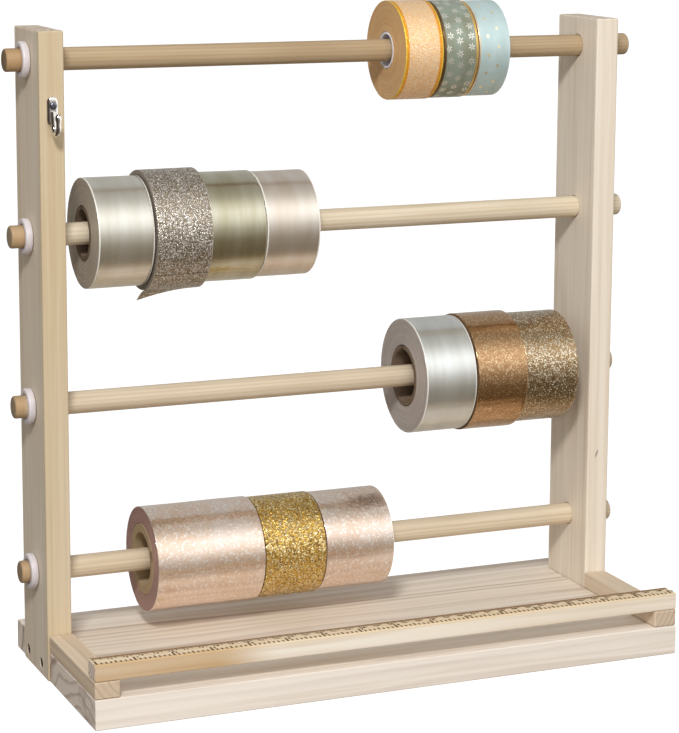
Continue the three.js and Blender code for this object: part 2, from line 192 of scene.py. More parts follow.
def pine(name, grain, light, dark, pith, spacing, contrast, seed, warm=(), knot=None,
         waver=0.022, ends=0.9):
    """Solid pine whose rings are cylinders round a pith line that runs along the grain axis.

    pith is where that line crosses the plane of the two other axes. warm lists darker, yellower
    stretches: (limits, colour), each limit being (axis, where it starts, where it is full). knot
    is the middle of one small dark mark that leans across the grain. waver is how far the rings
    wander, and ends is how strongly they show on the end grain.
    """
    g = Graph(name)
    point = g.coords("Object")
    x, y, z = g.split(point)
    along, across, through = {"x": (x, y, z), "y": (y, x, z), "z": (z, x, y)}[grain]
    squeezed = g.join(g.fma(along, 0.12, seed), across, through)
    wander = g.noise(squeezed, 16.0, 3.0)
    drift = g.mul(g.sub(wander, 0.5), waver)
    distance = g.length(g.sub(across, pith[0]), g.sub(through, pith[1]))
    year = g.div(g.add(distance, drift), spacing)
    ring = g.ramp(
        g.math("FRACT", year), [(0.0, 0.0), (0.45, 0.18), (0.82, 1.0), (0.93, 0.55), (1.0, 0.0)]
    )
    year_strength = g.random(g.join(g.math("FLOOR", year), seed, 0.0))
    patch = g.noise(squeezed, 34.0, 2.0)
    strength = g.mul(g.fma(year_strength, 0.75, 0.25), patch)
    band = g.math("MULTIPLY", g.mul(ring, strength), 2.0 * contrast, clamp=True)

    fibre_place = g.join(g.fma(along, 0.02, seed), across, through)
    fibre = g.noise(fibre_place, 900.0, 4.0, 0.7)
    streak = g.noise(fibre_place, 210.0, 3.0, 0.6)
    mottle = g.noise(squeezed, 9.0, 2.0)

    colour = g.mix(band, light, dark)
    warmer = tuple(v * k for v, k in zip(light, (0.98, 0.93, 0.85)))
    colour = g.mix(g.step(mottle, 0.45, 0.75), colour, g.mix(band, warmer, dark))
    for limits, warm_colour in warm:
        share = g.fma(g.step(patch, 0.3, 0.6), 0.4, 0.6)
        for axis, start, full in limits:
            uneven = g.mul(wander, abs(full - start) * 0.5)
            reach = g.add({"x": x, "y": y, "z": z}[axis], uneven)
            share = g.mul(share, g.step(reach, start, full))
        colour = g.mix(share, colour, g.mix(g.mul(band, 0.6), warm_colour, dark))
    colour = g.mix(g.step(streak, 0.42, 0.7), colour, (0.9, 0.865, 0.82), "MULTIPLY")
    fleck = g.step(g.noise(fibre_place, 420.0, 2.0), 0.72, 0.8)
    colour = g.mix(g.mul(fleck, 0.16), colour, tone(dark, 0.6))

    end_grain = g.step(g.facing("xyz".index(grain)), 0.75, 0.95)
    pores = g.noise(point, 1500.0, 2.0)
    paler = (light[0] * 0.97, light[1] * 0.93, light[2] * 0.9)
    grey = g.mix(pores, tone(paler, 0.76), paler)
    crisp = g.mul(g.step(ring, 0.3, 0.95), ends)
    late_wood = g.mul(crisp, g.fma(year_strength, 0.5, 0.5))
    brown = (dark[0] * 0.52, dark[1] * 0.4, dark[2] * 0.36)
    end_colour = g.mix(late_wood, grey, brown)
    stained = g.step(g.noise(point, 70.0, 3.0), 0.5, 0.66)
    end_colour = g.mix(g.mul(stained, 0.4 * ends), end_colour, brown)
    colour = g.mix(g.mul(end_grain, 0.85), colour, end_colour)
    if knot:
        kx, ky, kz = g.split(g.vector("SUBTRACT", point, knot))
        reach = g.length(g.fma(kz, -0.35, kx), ky, g.mul(kz, 0.3))
        mark = g.mul(g.step(reach, 1.1 * MM, 0.4 * MM), 0.75)
        colour = g.mix(mark, colour, tone(dark, 0.3))

    height = g.add(g.mul(fibre, 0.6), g.mul(band, 0.5))
    return g.surface(
        Base_Color=colour, Roughness=g.blend(band, 0.62, 0.5), Specular_IOR_Level=0.32,
        Normal=g.bump(height, 0.00012, 0.6),
    )


BROWN_STUB_START = -0.2115  # X, from the middle of the rod: the end is browner from here, and darker towards the back


def dowel(name, centre, seed, light, dark):
    """A straight-grained dowel along X. The tone drifts along it and round it."""
    g = Graph(name)
    x, y, z = g.split(g.vector("SUBTRACT", g.coords("Object"), centre))
    squeezed = g.join(g.fma(x, 0.05, seed), y, z)
    distance = g.length(g.add(y, 0.011), g.add(z, 0.02 * math.sin(seed)))
    drift = g.mul(g.noise(squeezed, 45.0, 2.0), 0.006)
    year = g.math("FRACT", g.div(g.add(distance, drift), 0.0026))
    ring = g.ramp(year, [(0.0, 0.0), (0.5, 0.2), (0.85, 1.0), (1.0, 0.0)])
    patch = g.noise(g.join(g.fma(x, 0.35, seed), y, z), 22.0, 2.0)
    fibre_place = g.join(g.fma(x, 0.03, seed), y, z)
    fibre = g.noise(fibre_place, 800.0, 4.0, 0.7)
    streak = g.step(g.noise(fibre_place, 260.0, 3.0), 0.4, 0.75)
    colour = g.mix(g.mul(ring, 0.55), light, dark)
    colour = g.mix(g.mul(streak, 0.45), colour, dark)
    colour = g.mix(g.step(patch, 0.35, 0.7), colour, g.mix(0.35, colour, dark))
    # The left stub is browner, and darker towards the back.
    browner_stub = g.step(g.fma(patch, 0.006, x), BROWN_STUB_START + 0.004, BROWN_STUB_START)
    brown = g.mix(g.step(y, -0.007, 0.004), (0.42, 0.265, 0.13), (0.22, 0.13, 0.06))
    colour = g.mix(g.mul(browner_stub, 0.85), colour, brown)
    end_face = g.step(g.facing(0), 0.6, 0.95)
    pores = g.noise(g.join(x, y, z), 1400.0, 2.0)
    end_colour = g.mix(pores, tone(dark, 0.3), tone(dark, 0.85))
    colour = g.mix(g.mul(end_face, 0.75), colour, end_colour)
    return g.surface(
        Base_Color=colour, Roughness=0.5, Specular_IOR_Level=0.35,
        Normal=g.bump(fibre, 0.0001, 0.5),
    )


# ---- Metal, silicone, card and ink ----

SEAM_PITCH = 0.09  # how far apart the turns of the card's spiral seam are


def cardboard(name, light, dark, centre):
    """Card wound in a spiral: its plies show on the end faces, and its seam runs round the bore."""
    g = Graph(name)
    point = g.coords("Object")
    x, y, z = g.split(g.vector("SUBTRACT", point, centre))
    radius = g.length(y, z)
    turn = g.div(g.math("ARCTAN2", z, y), 2 * math.pi)
    along = g.div(x, SEAM_PITCH)
    seam = g.math("FRACT", g.add(turn, along))
    seam_line = g.step(seam, 0.07, 0.02)
    pulp = g.noise(point, 700.0, 5.0, 0.7)
    fleck = g.step(g.noise(point, 1600.0, 2.0), 0.62, 0.72)
    plies = g.math("SINE", g.mul(radius, 2 * math.pi / (1.7 * MM)))
    end_face = g.step(g.facing(0), 0.7, 0.95)
    colour = g.mix(pulp, dark, light)
    colour = g.mix(g.mul(fleck, 0.35), colour, tone(dark, 0.45))
    colour = g.mix(g.mul(seam_line, 0.7), colour, tone(dark, 0.4))
    ply_share = g.mul(g.step(plies, 0.3, 0.95), g.mul(end_face, 0.6))
    colour = g.mix(ply_share, colour, tone(dark, 0.5))
    ply_edge = g.mul(g.step(plies, -0.75, -0.98), g.mul(end_face, 0.55))
    colour = g.mix(ply_edge, colour, tone(light, 1.5))
    return g.surface(
        Base_Color=colour, Roughness=0.88, Specular_IOR_Level=0.2,
        Normal=g.bump(g.sub(pulp, seam_line), 0.0003, 0.6),
    )


def mottled(name, grain, dark, light, roughness, depth, strength=0.5, skin=None, **finish):
    """A plain surface whose tone and roughness drift with one fine noise, grain (scale, detail).

    depth is how high that noise stands up. skin is the noise that stands up, where it is another
    one: (scale, detail, stretch).
    """
    g = Graph(name)
    point = g.coords("Object")
    drift = g.noise(point, *grain)
    height = drift
    if skin:
        scale, detail, stretch = skin
        height = g.noise(g.vector("MULTIPLY", point, stretch), scale, detail)
    return g.surface(
        Base_Color=g.mix(drift, dark, light), Roughness=g.blend(drift, *roughness),
        Normal=g.bump(height, depth, strength), **finish,
    )


def nickel():
    return mottled(
        "bright_nickel", (900.0, 3.0), (0.7, 0.68, 0.66), (0.9, 0.88, 0.86), (0.05, 0.14), 0.00002,
        0.4, skin=(1500.0, 2.0, (1.0, 1.0, 8.0)), Metallic=1.0,
    )


def blued_steel():
    return mottled(
        "blued_screw_steel", (1000.0, 3.0), (0.13, 0.13, 0.17), (0.26, 0.26, 0.31), (0.16, 0.3),
        0.00003, Metallic=0.9,
    )


def screw_steel_and_painted_shade():
    # Painted shade: the foot screws are near black, partly their own dark steel and partly the shade
    # of the deep holes they sit in.
    return mottled(
        "screw_steel_with_painted_shade", (1200.0, 3.0), (0.025, 0.02, 0.018), (0.09, 0.07, 0.055), (0.45, 0.65),
        0.00005, Metallic=0.7,
    )


def silicone():
    return mottled(
        "translucent_silicone", (260.0, 2.0), (0.6, 0.55, 0.56), (0.76, 0.71, 0.72), (0.3, 0.42),
        0.00006, 0.4, skin=(1800.0, 2.0, (1.0, 1.0, 1.0)), Subsurface_Weight=0.35,
        Subsurface_Radius=(1.0, 0.9, 0.95), Subsurface_Scale=0.003,
    )


def white_tube():
    return mottled(
        "white_tube", (500.0, 3.0), (0.72, 0.7, 0.76), (0.9, 0.88, 0.93), (0.4, 0.55), 0.0001, 0.4
    )


def dark_mark_finish(name, dark, light):
    return mottled(
        name, (1500.0, 3.0), dark, light, (0.95, 0.95), 0.00004, Specular_IOR_Level=0.02
    )


# ---- Ribbon ----

LACQUER_IOR = 2.2
RIBBON_TURN = 0.62 * MM  # the lines of an edge face are this far apart
# width of the lighter band along each satin edge: partly its own woven selvage, partly a painted
# highlight
SELVAGE_AND_HIGHLIGHT_WIDTH = 1.2 * MM
FOIL_PEBBLE = 1.3 * MM


def wound_side(name, light, dark):
    """The edge face of a roll: every turn of ribbon is a fine line, and the tone drifts outwards."""
    g = Graph(name)
    radius, angle, _ = g.split(g.coords("UV"))
    spiral = g.sub(g.div(radius, RIBBON_TURN), angle)
    line = g.math("FRACT", spiral)
    groove = g.ramp(line, [(0.0, 0.0), (0.2, 0.9), (0.75, 1.0), (1.0, 0.0)])
    which = g.random(g.join(g.math("FLOOR", spiral), 0.0, 0.0))
    drift = g.noise(g.join(radius, g.mul(angle, 0.004), 0.0), 420.0, 3.0)
    share = g.fma(which, 0.55, g.mul(g.step(drift, 0.3, 0.7), 0.5))
    colour = g.mix(share, dark, light)
    colour = g.mix(groove, tone(dark, 0.5), colour)
    return g.surface(
        Base_Color=colour, Metallic=0.12, Roughness=g.blend(which, 0.28, 0.45), Anisotropic=0.8,
        Tangent=g.round_x(), Normal=g.bump(g.fma(share, 0.5, groove), 0.00012, 0.8),
    )


def edge_mask(g, v, width, band):
    """1 within a band of each long edge of the ribbon, v being the distance from its left edge."""
    nearest = g.math("MINIMUM", v, g.sub(width, v))
    return g.step(nearest, band, band * 0.8)


def satin(name, width, colour, shade, metallic, roughness=0.24, edge=None, brushed=0.2, coat=0.0):
    """Satin or foil ribbon: fine threads run round the roll, and the colour drifts across it."""
    g = Graph(name)
    u, v, _ = g.split(g.coords("UV"))
    thread_place = g.join(g.mul(u, 0.006), v, 0.0)
    threads = g.noise(thread_place, 2400.0, 3.0, 0.7)
    broken = g.noise(g.join(g.mul(u, 0.04), v, 0.0), 1300.0, 2.0, 0.6)
    weave = g.noise(g.join(u, g.mul(v, 0.25), 0.0), 3200.0, 1.0)
    patch = g.noise(g.join(g.mul(u, 0.15), v, 0.0), 90.0, 2.0)
    body = g.mix(g.step(patch, 0.3, 0.7), shade, colour)
    body = g.mix(g.mul(g.step(broken, 0.45, 0.75), brushed), body, shade)
    shine = metallic
    if edge:
        # Each edge is painted lighter and less metallic: partly its own woven selvage and partly a
        # painted highlight where the rounded edge meets the light.
        selvage_and_highlight = edge_mask(g, v, width, SELVAGE_AND_HIGHLIGHT_WIDTH)
        body = g.mix(selvage_and_highlight, body, edge)
        shine = g.blend(selvage_and_highlight, metallic, 0.25)
    height = g.fma(weave, 0.25, g.add(threads, broken))
    return g.surface(
        Base_Color=body, Metallic=shine, Coat_Weight=coat, Coat_IOR=LACQUER_IOR,
        Coat_Roughness=roughness, Roughness=g.blend(broken, roughness * 0.85, roughness * 1.15),
        Anisotropic=0.4, Tangent=g.round_x(), Normal=g.bump(height, 0.000012, 0.5),
    )


def leaning_cells(g, uv, size, tilt):
    """Cells that each lean their own way: their random share, distance to a border, and normal."""
    chance, lean_u, lean_v = g.split(g.cells(uv, 1.0 / size).outputs["Color"])
    border = g.cells(uv, 1.0 / size, "DISTANCE_TO_EDGE").outputs["Distance"]
    lean = g.vector("SUBTRACT", g.join(lean_v, lean_u, chance), (0.5, 0.5, 0.5))
    leant = g.vector("ADD", g.normal(), g.vector("MULTIPLY", lean, tilt))
    return chance, border, g.vector("NORMALIZE", leant)


def glitter(name, width, flake, bright, middle, dark, tilt, metallic, roughness, sparkle, gap,
            glint_share, edge=None, edge_band=0.8 * MM, rim=None, coat=0.0, relief=0.6):
    """Flakes that each lean their own way, so that some flash and others stay dark.

    spark is the share of flakes painted pale as glints, so that they stay bright whichever way
    they lean. rim is the colour of the outermost millimetre of an edge. coat is the amount of
    clear lacquer over the flakes, and relief is how far they stand up.
    """
    g = Graph(name)
    uv = g.coords("UV")
    _, v, _ = g.split(uv)
    chance, border, normal = leaning_cells(g, uv, flake, (tilt, tilt, tilt))
    colour = g.ramp(
        chance,
        [(0.0, dark), (0.3, middle), (0.62, middle), (1.0 - sparkle, bright), (1.0, bright)],
    )
    seam = g.mul(g.step(border, 0.14, 0.02), gap)
    colour = g.mix(seam, colour, tone(dark, 0.35))
    fine = g.noise(uv, 2.5 / flake, 2.0)
    colour = g.mix(g.mul(fine, 0.5), colour, middle)
    # Painted glints: small dots in the bright tone and less metallic, so they stay pale under any
    # light.
    grains = g.cells(uv, 1.15 / flake)
    picked = g.step(g.split(grains.outputs["Color"])[1], 1.0 - glint_share, 1.02 - glint_share)
    glint_dot = g.mul(picked, g.step(grains.outputs["Distance"], 0.52, 0.34))
    colour = g.mix(glint_dot, colour, bright)
    shine = g.blend(glint_dot, metallic, 0.35)
    if edge:
        colour = g.mix(edge_mask(g, v, width, edge_band), colour, edge)
    if rim:
        colour = g.mix(edge_mask(g, v, width, 1.0 * MM), colour, rim)
    return g.surface(
        Base_Color=colour, Metallic=shine, Coat_Weight=coat, Coat_IOR=LACQUER_IOR,
        Coat_Roughness=roughness, Roughness=g.blend(chance, roughness * 1.3, roughness * 0.7),
        Normal=g.bump(g.step(border, 0.0, 0.2), 0.00008, relief, normal),
    )


def foil(name, width, colour, shade):
    """Smooth metallic foil with a fine pebbled embossing that shows most beside the highlight, its
    creases painted darker as shade and some pebbles painted near white as glints.
    """
    g = Graph(name)
    uv = g.coords("UV")
    u, v, _ = g.split(uv)
    chance, border, normal = leaning_cells(g, uv, FOIL_PEBBLE, (0.09, 0.09, 0.0))
    drift = g.noise(g.join(g.mul(u, 0.6), v, 0.0), 30.0, 2.0)
    body = g.mix(g.step(drift, 0.3, 0.72), shade, colour)
    # Painted shade: the creases between the pebbles are darkened.
    crease_shade = g.step(border, 0.1, 0.0)
    body = g.mix(g.mul(crease_shade, 0.36), body, tone(shade, 0.6))
    # Painted glints: some pebbles are painted near white.
    body = g.mix(g.mul(g.step(chance, 0.76, 0.82), 0.6), body, (1.0, 0.96, 0.92))
    body = g.mix(edge_mask(g, v, width, 0.5 * MM), body, (0.95, 0.88, 0.8))
    fine = g.noise(uv, 1800.0, 2.0)
    height = g.fma(fine, 0.2, g.step(border, 0.0, 0.25))
    return g.surface(
        Base_Color=body, Metallic=0.88, Roughness=g.blend(chance, 0.12, 0.21),
        Normal=g.bump(height, 0.000025, 0.5, normal),
    )


def flower_mask(g, u, v, pitch, size):
    """Snowflakes scattered about a grid, every second column moved half a pitch round the roll."""
    column = g.math("FLOOR", g.div(v, pitch))
    odd = g.math("MODULO", g.math("ABSOLUTE", column), 2.0)
    moved = g.fma(odd, pitch / 2, u)
    row = g.math("FLOOR", g.div(moved, pitch))
    jitter = g.node("TexWhiteNoise", inputs={"Vector": g.join(column, row, 0.0)})
    jitter_u, jitter_v, turned_by = g.split(jitter.outputs["Color"])
    middle_u = g.fma(jitter_u, 0.3, 0.35)
    middle_v = g.fma(jitter_v, 0.28, 0.36)
    du = g.mul(g.sub(g.math("FRACT", g.div(moved, pitch)), middle_u), pitch)
    dv = g.mul(g.sub(g.math("FRACT", g.div(v, pitch)), middle_v), pitch)
    radius = g.length(du, dv)
    angle = g.add(g.math("ARCTAN2", dv, du), turned_by)
    petal = g.math("COSINE", g.mul(angle, 6.0))
    rim = g.mul(g.fma(petal, 0.42, 0.58), size)
    inside = g.step(g.div(radius, rim), 1.0, 0.85)
    hole = g.step(g.div(radius, size), 0.14, 0.24)
    return g.mul(inside, hole)


def printed(name, width, colour, shade, print_colour, left_edge, edge_band, right_edge=None,
            flowers=None, diamonds=None):
    """Satin with a foil print: flowers or diamonds, and an edge of another colour."""
    g = Graph(name)
    uv = g.coords("UV")
    u, v, _ = g.split(uv)
    threads = g.noise(g.join(g.mul(u, 0.02), v, 0.0), 2400.0, 3.0, 0.7)
    patch = g.noise(g.join(g.mul(u, 0.5), v, 0.0), 70.0, 3.0)
    body = g.mix(g.step(patch, 0.3, 0.7), shade, colour)
    speck = g.cells(uv, 1500.0).outputs["Color"]
    body = g.mix(g.mul(g.split(speck)[0], 0.25), body, shade)
    if flowers:
        worn = g.step(g.noise(uv, 1700.0, 2.0), 0.3, 0.5)
        mask = g.mul(flower_mask(g, u, v, *flowers), worn)
    else:
        pitch, size, rows = diamonds
        mask = 0.0
        for row, shift in rows:
            spot = g.math("FRACT", g.div(g.add(u, shift), pitch))
            du = g.math("ABSOLUTE", g.mul(g.sub(spot, 0.5), pitch))
            dv = g.math("ABSOLUTE", g.sub(v, row))
            shape = g.add(du, g.mul(dv, 1.3))
            mask = g.math("MAXIMUM", mask, g.step(shape, size, size * 0.85))
    body = g.mix(mask, body, print_colour)
    share = g.step(v, edge_band, edge_band * 0.85)
    body = g.mix(share, body, left_edge)
    mask = g.math("MAXIMUM", mask, share)
    if right_edge:
        share = g.step(v, width - edge_band, width - edge_band * 0.85)
        body = g.mix(share, body, right_edge)
        mask = g.math("MAXIMUM", mask, share)
    return g.surface(
        Base_Color=body, Metallic=g.blend(mask, 0.35, 0.75), Roughness=g.blend(mask, 0.34, 0.24),
        Anisotropic=0.35, Tangent=g.round_x(),
        Normal=g.bump(g.fma(mask, 0.6, threads), 0.00004, 0.6),
    )


# ---- Mesh helpers ----


def link_mesh(name, mesh, materials):
    for each in materials:
        mesh.materials.append(each)
    made = bpy.data.objects.new(name, mesh)
    bpy.context.scene.collection.objects.link(made)
    return made


def finish_mesh(name, vertices, faces, materials, uvs=None, face_materials=None, crisp=35.0):
    """A smooth closed mesh whose edges stay crisp where they are sharper than crisp, in degrees."""
    mesh = bpy.data.meshes.new(name)
    mesh.from_pydata(vertices, [], faces)
    if face_materials:
        mesh.polygons.foreach_set("material_index", face_materials)
    if uvs:
        layer = mesh.uv_layers.new(name="UVMap")
        layer.data.foreach_set("uv", [number for pair in uvs for number in pair])
    return finish_faces(link_mesh(name, mesh, materials), crisp)


def finish_faces(piece, crisp=35.0):
    """Turns every face outwards, and shades smooth across all but the crisp edges."""
    made = bmesh.new()
    made.from_mesh(piece.data)
    bmesh.ops.recalc_face_normals(made, faces=made.faces)
    for face in made.faces:
        face.smooth = True
    for edge in made.edges:
        edge.smooth = edge.calc_face_angle(0.0) < math.radians(crisp)
    made.to_mesh(piece.data)
    made.free()
    return piece


def loft(name, rings, material, closed=False):
    """A skin over rings of points. A ring of one point is a tip, and any other end is capped.

    closed joins the last ring to the first instead.
    """
    sides = max(len(ring) for ring in rings)
    vertices = []
    rows = []
    for ring in rings:
        first = len(vertices)
        vertices += ring
        rows.append([first] * sides if len(ring) == 1 else list(range(first, first + sides)))
    faces = [] if closed else [row for row in (rows[0], rows[-1]) if row[0] != row[1]]
    following = rows[1:] + rows[:1] if closed else rows[1:]
    for low, high in zip(rows, following):
        for side in range(sides):
            after = (side + 1) % sides
            corners = list(dict.fromkeys([low[side], high[side], high[after], low[after]]))
            if len(corners) > 2:
                faces.append(corners)
    return finish_mesh(name, vertices, faces, [material])


def turned(name, profile, centre, material, axis="X", sides=SMOOTH_SIDES, wobble=None):
    """A solid turned round an X or Y axis through centre.

    profile is [(place along the axis, radius)]. It closes on itself, or starts and ends on the
    axis. wobble(angle) is added to each radius.
    """
    rings = []
    for along, radius in profile:
        ring = []
        for side in range(sides if radius else 1):
            angle = 2 * math.pi * side / sides
            r = radius + (wobble(angle) if wobble else 0.0)
            sine, cosine = r * math.sin(angle), r * math.cos(angle)
            if axis == "X":
                ring.append((along, centre.y - sine, centre.z + cosine))
            else:
                ring.append((centre.x + cosine, along, centre.z + sine))
        rings.append(ring)
    return loft(name, rings, material, closed=profile[0][1] > 0)


def add_box(made, low, high):
    corners = [
        made.verts.new((x, y, z))
        for x in (low[0], high[0]) for y in (low[1], high[1]) for z in (low[2], high[2])
    ]
    for face in ((0, 1, 3, 2), (4, 6, 7, 5), (0, 4, 5, 1), (2, 3, 7, 6), (0, 2, 6, 4), (1, 5, 7, 3)):
        made.faces.new([corners[index] for index in face])


def from_bmesh(name, made, material):
    mesh = bpy.data.meshes.new(name)
    made.to_mesh(mesh)
    made.free()
    return link_mesh(name, mesh, [material])


def box_piece(name, low, high, material):
    made = bmesh.new()
    add_box(made, low, high)
    return from_bmesh(name, made, material)


def stands_for(piece, node, body):
    """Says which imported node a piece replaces, and the body that carries it."""
    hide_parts(node)
    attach(piece, body)


def radii(node):
    """The smallest and largest distance of a node's vertices from its own X axis."""
    middle = place(node)[2]
    points = [v.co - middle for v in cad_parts[node].data.vertices]
    distances = [math.hypot(point.y, point.z) for point in points]
    return min(distances), max(distances)


def place(node):
    """A node's left and right end, and its middle."""
    low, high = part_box(node)
    middle = (low + high) / 2
    return low.x, high.x, middle


# ---- Rods and rings ----

# light and dark tone of each rod
ROD_TONES = {
    1: ((0.74, 0.63, 0.47), (0.5, 0.37, 0.23)),
    2: ((0.72, 0.61, 0.46), (0.52, 0.39, 0.25)),
    3: ((0.76, 0.66, 0.5), (0.55, 0.42, 0.27)),
    4: ((0.5, 0.375, 0.23), (0.33, 0.22, 0.12)),
}


def rounded_bar(left, right, radius, rounding=1.6 * MM, spans=24, steps=6):
    """The profile of a bar with rounded ends, from the axis at its left to the axis at its right."""
    turns = [math.pi / 2 * step / steps for step in range(steps + 1)]
    rise = [(rounding * (1 - math.cos(t)), radius - rounding * (1 - math.sin(t))) for t in turns]
    length = right - left - 2 * rounding
    middle = [(left + rounding + length * step / spans, radius) for step in range(1, spans)]
    return (
        [(left, 0.0)]
        + [(left + x, r) for x, r in rise]
        + middle
        + [(right - x, r) for x, r in reversed(rise)]
        + [(right, 0.0)]
    )


def make_rod(number):
    node = f"rod_{number}"
    left, right, middle = place(node)
    _, radius = radii(node)
    wood = dowel(f"dowel_{number}", tuple(middle), 3.7 * number, *ROD_TONES[number])
    piece = turned(f"dowel_rod_{number}", rounded_bar(left, right, radius), middle, wood)
    stands_for(piece, node, node)


def make_ring(number, material):
    """A soft ring: round outside, and pressed flat where it meets the post."""
    node = f"rod_ring_{number}"
    left, right, middle = place(node)
    bore, outer = radii(node)
    width = right - left
    tube = (outer - bore) / 2
    centre_radius = (outer + bore) / 2
    profile = []
    for step in range(28):
        turn = 2 * math.pi * step / 28
        x = left + width / 2 - width / 2 * math.copysign(abs(math.cos(turn)) ** 0.5, math.cos(turn))
        r = centre_radius + tube * math.copysign(abs(math.sin(turn)) ** 0.6, math.sin(turn))
        profile.append((x, r))
    piece = turned(f"soft_ring_{number}", profile, middle, material)
    stands_for(piece, node, f"rod_{number}_ring")


# ---- Rolls of ribbon ----

ROLL_COLUMNS = 144
FACE_ROWS = 26
TAIL_STEP = 0.35 * MM  # thickness of the outermost turn, where it ends
EDGE_INSET = 0.2 * MM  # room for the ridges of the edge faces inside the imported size


def make_core(roll, material):
    node = roll + "_core"
    left, right, middle = place(node)
    bore, outer = radii(node)
    chance = random.Random(node)
    bevel = 0.25 * MM
    profile = [
        (left, bore + bevel),
        (left, outer - bevel),
        (left + bevel, outer),
        (right - bevel, outer),
        (right, outer - bevel),
        (right, bore + bevel),
        (right - bevel, bore),
        ((left + right) / 2, bore),
        (left + bevel, bore),
    ]
    phase = chance.uniform(0, 6)

    def out_of_round(angle):
        return 0.12 * MM * math.sin(2 * angle + phase)

    piece = turned(roll + "_tube", profile, middle, material, wobble=out_of_round)
    stands_for(piece, node, roll + "_roll")


def make_ribbon(roll, face, side, tail_angle):
    """Many turns of ribbon. Its edge faces are ridged, and its outer turn ends in a small step."""
    node = roll + "_ribbon"
    left, right, middle = place(node)
    inner, outer = radii(node)
    chance = random.Random(node)
    tail = math.radians(tail_angle)
    soft = 0.3 * MM

    def edge_rows(x, inwards):
        """One edge face, whose turns of ribbon stand in or out a little, and then its rounding.

        A row is (whether it lies on the body, place along the axis, radius).
        """
        rows = []
        for index in range(FACE_ROWS):
            share = index / (FACE_ROWS - 1)
            ridge = chance.uniform(-0.05, 0.16) * MM if 0 < index < FACE_ROWS - 1 else 0.0
            rows.append((False, x + inwards * ridge, inner + (outer - soft - inner) * share))
        for step in (1, 2, 3):
            turn = math.pi / 2 * step / 3
            along = x + inwards * soft * (1 - math.cos(turn))
            rows.append((True, along, outer - soft * (1 - math.sin(turn))))
        return rows

    start = left + EDGE_INSET
    end = right - EDGE_INSET
    body_rows = max(8, int((right - left) / (2.5 * MM)))
    span = end - start - 2 * soft
    rows = edge_rows(start, 1)
    rows += [(True, start + soft + span * k / body_rows, outer) for k in range(1, body_rows)]
    rows += edge_rows(end, -1)[::-1]

    angles = [tail + 2 * math.pi * column / ROLL_COLUMNS for column in range(ROLL_COLUMNS)]
    angles.append(tail + 2 * math.pi * 0.9985)
    columns = len(angles)
    waves = [(chance.uniform(0, 6), chance.uniform(20, 90), chance.randint(2, 5)) for _ in range(3)]

    vertices = []
    for _, x, radius in rows:
        for index, angle in enumerate(angles):
            grown = (index / (columns - 1)) * TAIL_STEP - TAIL_STEP
            ripple = sum(
                0.035 * MM * math.sin(turns * angle + rate * x * 2 + phase)
                for phase, rate, turns in waves
            )
            share = (radius - inner) / (outer - inner)
            r = radius + (grown + ripple) * share
            vertices.append((x, middle.y - r * math.sin(angle), middle.z + r * math.cos(angle)))

    faces = []
    materials = []
    uvs = []
    count = len(rows)
    for index in range(count):
        following = (index + 1) % count
        is_body = rows[index][0] or rows[following][0]
        for column in range(columns):
            after = (column + 1) % columns
            a = index * columns + column
            b = following * columns + column
            c = following * columns + after
            d = index * columns + after
            faces.append((a, b, c, d))
            materials.append(0 if is_body else 1)
            this_angle = angles[column] - tail
            next_angle = angles[after] - tail if after else 2 * math.pi
            for row, angle in (
                (rows[index], this_angle),
                (rows[following], this_angle),
                (rows[following], next_angle),
                (rows[index], next_angle),
            ):
                if is_body:
                    uvs.append((angle * outer, row[1] - left))
                else:
                    uvs.append((row[2], angle / (2 * math.pi)))
    piece = finish_mesh(roll + "_winding", vertices, faces, [face, side], uvs, materials, 40.0)
    stands_for(piece, node, roll + "_roll")


LOOSE_ROLL = "silver_glitter"
END_START = 130.3  # degrees round from the top, towards the front: just past the outer turn's end
END_LEAVES = 166.0  # where it leaves the roll
END_LENGTHS = (38 * MM, 23 * MM)  # along its left edge and along its right edge
END_THICKNESS = 0.3 * MM
END_STEPS = 28
END_ROWS = 12


